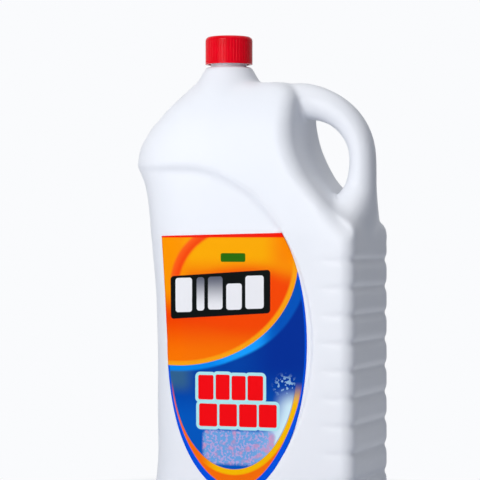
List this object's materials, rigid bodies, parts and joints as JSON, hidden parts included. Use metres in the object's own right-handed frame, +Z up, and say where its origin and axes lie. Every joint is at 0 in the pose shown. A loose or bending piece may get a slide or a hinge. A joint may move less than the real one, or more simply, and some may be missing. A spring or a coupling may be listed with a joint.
{
  "type": "bleach bottle",
  "caption": "Five litre blow-moulded jug with a through handle, sunk label panel, grip grooves and a push-and-turn screw closure.",
  "frame": {"origin": "under the middle of the bottle's box, on the surface that it stands on", "axes": "+Z up, +X towards the handle end, -Y out of the face with the label"},
  "size_m": [0.2063, 0.11, 0.3984],
  "materials": {
    "bottle": "satin white blow-moulded polyethylene",
    "label": "printed film, orange over blue",
    "liner": "white polyethylene foam",
    "inner_cap": "white polypropylene",
    "outer_cap": "glossy red polypropylene"
  },
  "bodies": {
    "bottle_body": {"bottle": "bottle", "front_label": "label"},
    "liner_body": {"cap_liner": "liner"},
    "inner_cap_body": {"inner_cap": "inner_cap"},
    "outer_cap_body": {"outer_cap": "outer_cap"}
  },
  "joints": [
    {"name": "closure_lift", "type": "slide", "parent": "bottle_body", "child": "liner_body", "axis": [0, 0, 1], "range_m": [0, 0.05]},
    {"name": "closure_turn", "type": "hinge", "parent": "liner_body", "child": "inner_cap_body", "pos_m": [-0.027, 0, 0.392], "axis": [0, 0, 1], "range_deg": [0, 540]},
    {"name": "cap_press", "type": "slide", "parent": "inner_cap_body", "child": "outer_cap_body", "axis": [0, 0, 1], "range_m": [-0.0015, 0], "stiffness_N_per_m": 4000}
  ]
}
